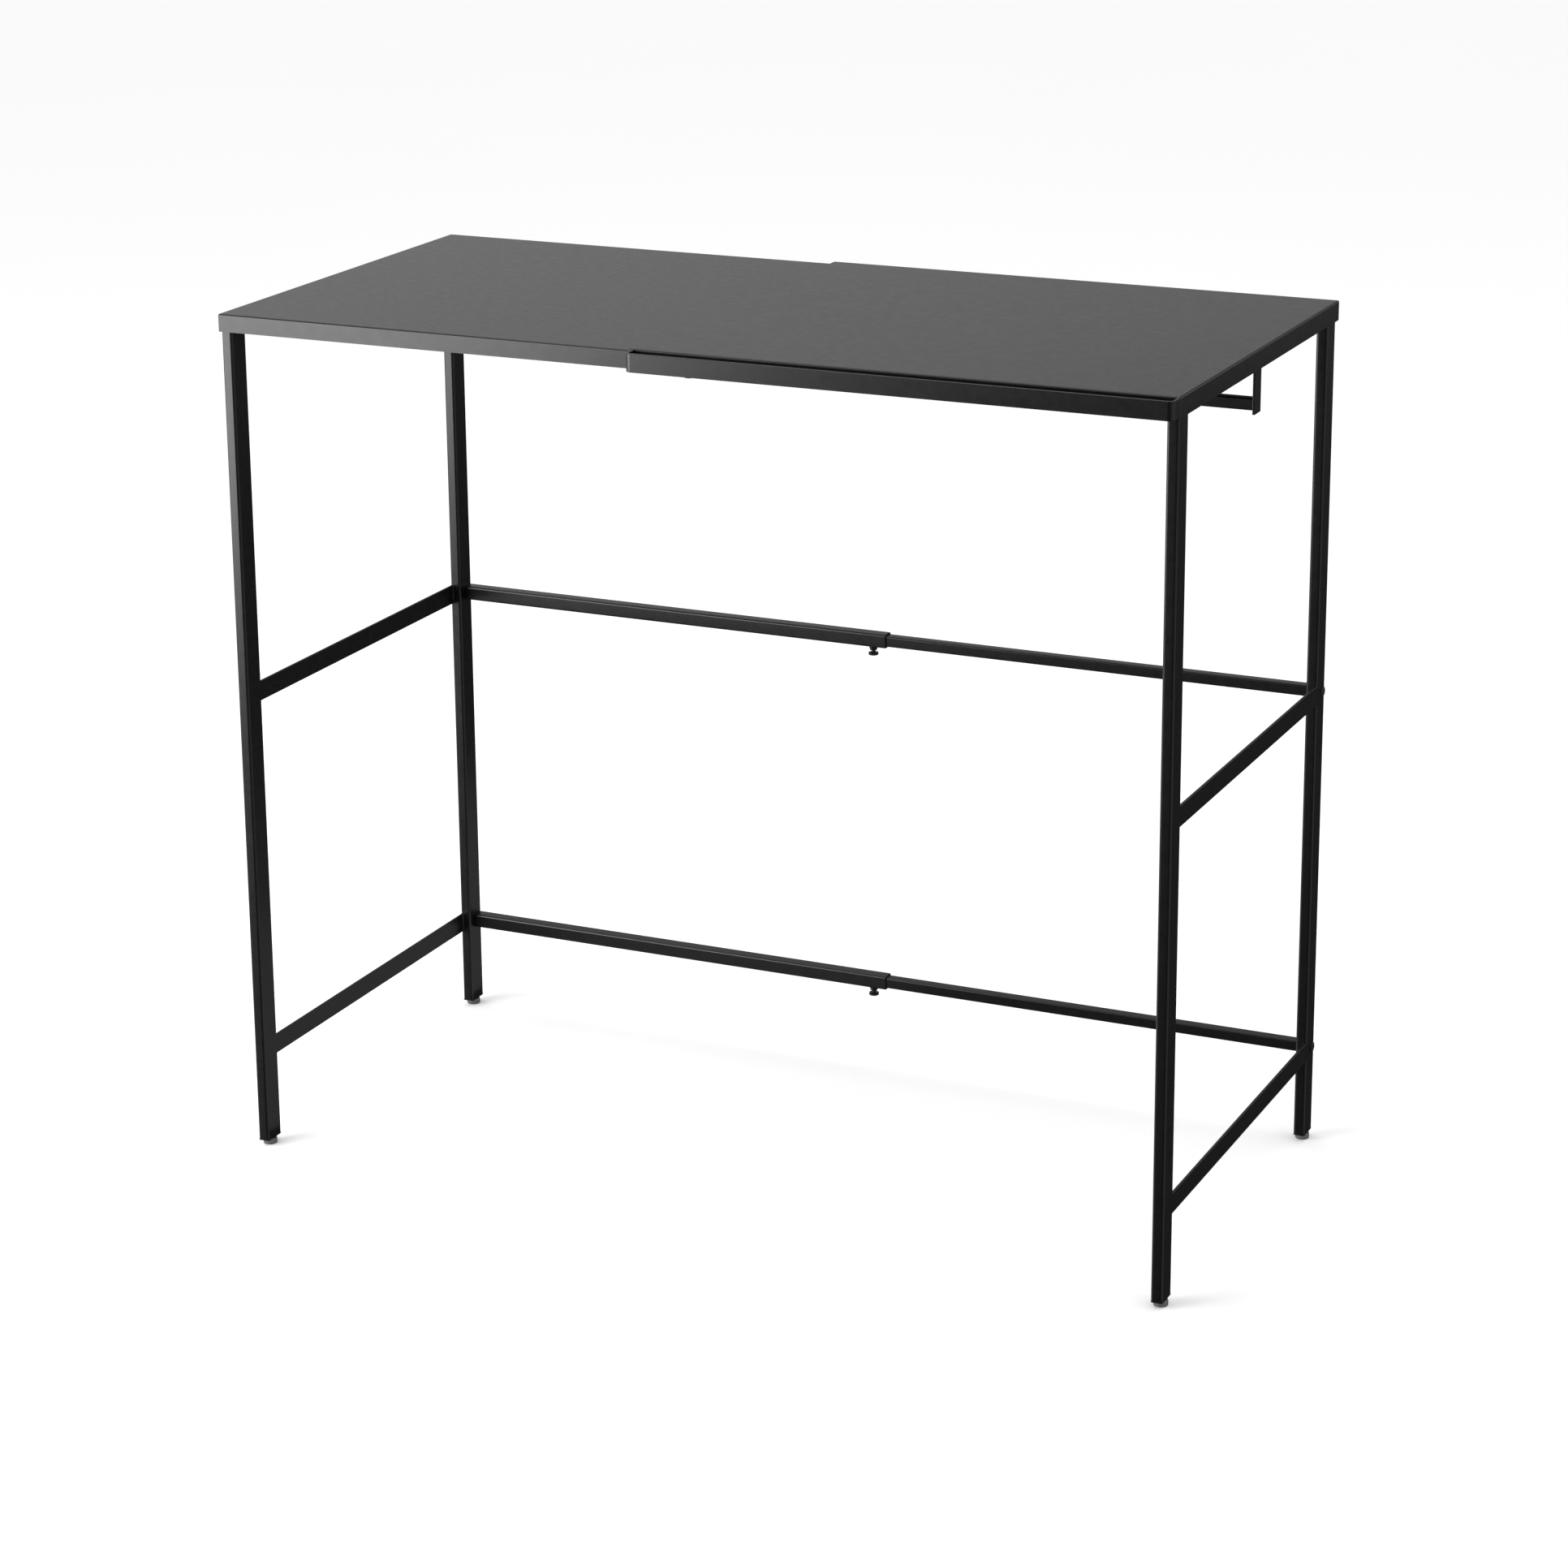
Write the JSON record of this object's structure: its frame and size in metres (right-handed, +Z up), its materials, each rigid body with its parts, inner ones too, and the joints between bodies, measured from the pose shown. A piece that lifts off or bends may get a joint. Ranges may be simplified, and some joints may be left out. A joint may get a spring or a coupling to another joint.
{
  "type": "extending side table",
  "caption": "Flat-topped black steel side table that changes width: lapped top panels, telescoping rails with thumb screws, front hook bar, hanger rail and levelling feet.",
  "frame": {"origin": "on the floor, under the middle of the whole outline, at the width built", "axes": "+X to the right, along the table's width and its sliding direction; +Y to the back, where the rails are; +Z up"},
  "size_m": [0.962, 0.4754, 0.852],
  "materials": {
    "powder_coat": "satin black powder coat with a very fine texture",
    "dark_fastener": "black oxide, slightly shiny",
    "zinc_insert": "zinc-plated steel",
    "leg_cap": "black moulded plastic",
    "foot_pad": "light grey moulded plastic"
  },
  "bodies": {
    "left_frame": {"leg_front_left": "powder_coat", "leg_back_left": "powder_coat", "side_rail_top_left": "powder_coat", "side_rail_mid_left": "powder_coat", "side_rail_low_left": "powder_coat", "top_panel_left": "powder_coat", "hanger_strap_left": "powder_coat", "outer_tube_top_front": "powder_coat", "thumb_nut_top_front": "dark_fastener", "outer_tube_top_back": "powder_coat", "thumb_nut_top_back": "dark_fastener", "outer_tube_hanger": "powder_coat", "thumb_nut_hanger": "dark_fastener", "outer_tube_back_mid": "powder_coat", "thumb_nut_back_mid": "dark_fastener", "outer_tube_back_low": "powder_coat", "thumb_nut_back_low": "dark_fastener", "rail_insert_back_mid_left": "zinc_insert", "rail_bolt_back_mid_left": "dark_fastener", "rail_insert_back_low_left": "zinc_insert", "rail_bolt_back_low_left": "dark_fastener", "leg_cap_front_left": "leg_cap", "leg_cap_back_left": "leg_cap"},
    "right_frame": {"leg_front_right": "powder_coat", "leg_back_right": "powder_coat", "side_rail_top_right": "powder_coat", "side_rail_mid_right": "powder_coat", "side_rail_low_right": "powder_coat", "top_panel_right": "powder_coat", "hook_bar": "powder_coat", "hanger_strap_right": "powder_coat", "inner_tube_top_front": "powder_coat", "inner_tube_top_back": "powder_coat", "inner_tube_hanger": "powder_coat", "inner_tube_back_mid": "powder_coat", "inner_tube_back_low": "powder_coat", "rail_insert_back_mid_right": "zinc_insert", "rail_bolt_back_mid_right": "dark_fastener", "rail_insert_back_low_right": "zinc_insert", "rail_bolt_back_low_right": "dark_fastener", "leg_cap_front_right": "leg_cap", "leg_cap_back_right": "leg_cap"},
    "thumb_screw_top_front": {"thumb_screw_top_front": "dark_fastener"},
    "thumb_screw_top_back": {"thumb_screw_top_back": "dark_fastener"},
    "thumb_screw_hanger": {"thumb_screw_hanger": "dark_fastener"},
    "thumb_screw_back_mid": {"thumb_screw_back_mid": "dark_fastener"},
    "thumb_screw_back_low": {"thumb_screw_back_low": "dark_fastener"},
    "foot_front_left": {"foot_front_left": "foot_pad"},
    "foot_front_right": {"foot_front_right": "foot_pad"},
    "foot_back_left": {"foot_back_left": "foot_pad"},
    "foot_back_right": {"foot_back_right": "foot_pad"}
  },
  "joints": [
    {"name": "width_slide", "type": "slide", "parent": "left_frame", "child": "right_frame", "axis": [1, 0, 0], "range_m": [-0.435, 0.012]},
    {"name": "thumb_screw_top_front_turn", "type": "hinge", "parent": "left_frame", "child": "thumb_screw_top_front", "pos_m": [0.003, -0.19385, 0.8336], "axis": [0, 0, -1], "range_deg": [0, 720]},
    {"name": "thumb_screw_top_back_turn", "type": "hinge", "parent": "left_frame", "child": "thumb_screw_top_back", "pos_m": [0.003, 0.21115, 0.8336], "axis": [0, 0, -1], "range_deg": [0, 720]},
    {"name": "thumb_screw_hanger_turn", "type": "hinge", "parent": "left_frame", "child": "thumb_screw_hanger", "pos_m": [0.003, 0.00865, 0.7911], "axis": [0, 0, -1], "range_deg": [0, 720]},
    {"name": "thumb_screw_back_mid_turn", "type": "hinge", "parent": "left_frame", "child": "thumb_screw_back_mid", "pos_m": [0.003, 0.2264, 0.45975], "axis": [0, 0, -1], "range_deg": [0, 720]},
    {"name": "thumb_screw_back_low_turn", "type": "hinge", "parent": "left_frame", "child": "thumb_screw_back_low", "pos_m": [0.003, 0.2264, 0.08925], "axis": [0, 0, -1], "range_deg": [0, 720]},
    {"name": "foot_front_left_height", "type": "slide", "parent": "left_frame", "child": "foot_front_left", "axis": [0, 0, -1], "range_m": [0, 0.01]},
    {"name": "foot_front_right_height", "type": "slide", "parent": "right_frame", "child": "foot_front_right", "axis": [0, 0, -1], "range_m": [0, 0.01]},
    {"name": "foot_back_left_height", "type": "slide", "parent": "left_frame", "child": "foot_back_left", "axis": [0, 0, -1], "range_m": [0, 0.01]},
    {"name": "foot_back_right_height", "type": "slide", "parent": "right_frame", "child": "foot_back_right", "axis": [0, 0, -1], "range_m": [0, 0.01]}
  ]
}
